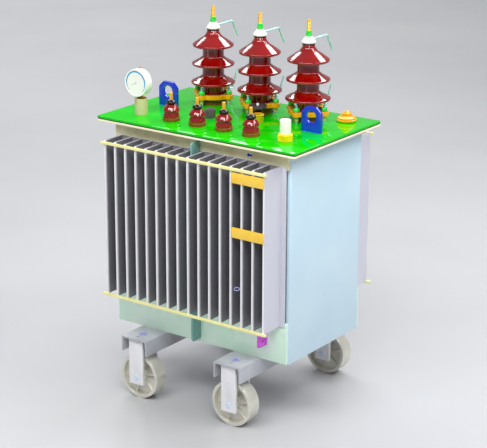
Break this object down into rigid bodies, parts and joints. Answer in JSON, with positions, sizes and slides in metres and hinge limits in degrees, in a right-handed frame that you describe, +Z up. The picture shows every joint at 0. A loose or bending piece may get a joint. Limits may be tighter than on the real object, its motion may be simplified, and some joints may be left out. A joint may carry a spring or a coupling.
{
  "type": "distribution transformer",
  "caption": "Oil-filled distribution transformer with corrugated tank walls, ribbed bushings on the cover and a rolling chassis.",
  "frame": {"origin": "on the floor under the middle of the tank", "axes": "+X along the finned walls to the right, +Y from the front (low-voltage side) to the back, +Z up"},
  "size_m": [0.93, 0.764, 1.497],
  "materials": {
    "cover_green": "gloss enamel",
    "cream_paint": "satin enamel",
    "flange_cream": "satin enamel",
    "light_blue_paint": "satin enamel",
    "mint_paint": "satin enamel",
    "lavender_grey_paint": "satin enamel",
    "pale_yellow_paint": "satin enamel",
    "teal_paint": "satin enamel",
    "amber_paint": "satin enamel",
    "magenta_paint": "satin enamel",
    "blue_paint": "gloss enamel",
    "gasket_rubber": "matt",
    "tank_steel": "satin enamel",
    "channel_steel": "satin enamel",
    "fork_steel": "satin enamel",
    "axle_steel": "turned",
    "collar_steel": "satin enamel",
    "roller_iron": "machined tread",
    "porcelain_red": "gloss glaze",
    "disc_brown": "matt",
    "clamp_orange": "gloss enamel",
    "bolt_teal": "zinc plated",
    "cap_ivory": "satin enamel",
    "terminal_amber": "turned brass",
    "horn_teal": "zinc plated",
    "cap_black": "gloss",
    "pocket_khaki": "satin enamel",
    "dial_white": "satin enamel",
    "hex_yellow": "satin enamel",
    "tube_ivory": "satin enamel",
    "valve_orange": "gloss enamel",
    "tap_dark": "gloss",
    "spare_olive": "gloss enamel",
    "boss_grey": "satin enamel"
  },
  "bodies": {
    "transformer": {"tank_body": "tank_steel", "end_panel_left": "light_blue_paint", "end_panel_right": "light_blue_paint", "top_bands": "cream_paint", "bottom_bands": "mint_paint", "corrugated_wall_front": "lavender_grey_paint", "corrugated_wall_rear": "lavender_grey_paint", "fin_bars": "pale_yellow_paint", "centre_braces": "teal_paint", "nameplate_straps": "amber_paint", "earth_lug": "magenta_paint", "tank_flange": "flange_cream", "cover_gasket": "gasket_rubber", "cover_plate": "cover_green", "lifting_lugs": "blue_paint", "chassis_channel_left": "channel_steel", "chassis_channel_right": "channel_steel", "roller_forks": "fork_steel", "roller_axles": "axle_steel", "pivot_collars": "collar_steel", "hv_porcelain_1": "porcelain_red", "hv_porcelain_2": "porcelain_red", "hv_porcelain_3": "porcelain_red", "hv_clamp_rings": "clamp_orange", "hv_clamp_bolts": "bolt_teal", "hv_terminal_caps": "cap_ivory", "hv_terminals": "terminal_amber", "arcing_horns": "horn_teal", "bushing_base_discs": "disc_brown", "lv_porcelain": "porcelain_red", "lv_terminal_caps": "cap_black", "lv_terminals": "terminal_amber", "thermometer_pocket": "pocket_khaki", "dial_thermometer": "dial_white", "filler_base": "hex_yellow", "filler_tube": "tube_ivory", "relief_valve": "valve_orange", "spare_pocket": "spare_olive", "blank_boss": "boss_grey", "tap_changer_base": "tap_dark"},
    "roller_front_left_body": {"roller_front_left": "roller_iron"},
    "roller_front_right_body": {"roller_front_right": "roller_iron"},
    "roller_rear_left_body": {"roller_rear_left": "roller_iron"},
    "roller_rear_right_body": {"roller_rear_right": "roller_iron"},
    "tap_knob": {"tap_changer_knob": "tap_dark"}
  },
  "joints": [
    {"name": "roller_front_left_spin", "type": "hinge", "parent": "transformer", "child": "roller_front_left_body", "pos_m": [-0.226, -0.324, 0.091], "axis": [0, 1, 0], "continuous": true},
    {"name": "roller_front_right_spin", "type": "hinge", "parent": "transformer", "child": "roller_front_right_body", "pos_m": [0.226, -0.324, 0.091], "axis": [0, 1, 0], "continuous": true},
    {"name": "roller_rear_left_spin", "type": "hinge", "parent": "transformer", "child": "roller_rear_left_body", "pos_m": [-0.226, 0.324, 0.091], "axis": [0, 1, 0], "continuous": true},
    {"name": "roller_rear_right_spin", "type": "hinge", "parent": "transformer", "child": "roller_rear_right_body", "pos_m": [0.226, 0.324, 0.091], "axis": [0, 1, 0], "continuous": true},
    {"name": "tap_changer_turn", "type": "hinge", "parent": "transformer", "child": "tap_knob", "pos_m": [0.06, 0.045, 1.149], "axis": [0, 0, 1], "range_deg": [-60, 60]}
  ]
}
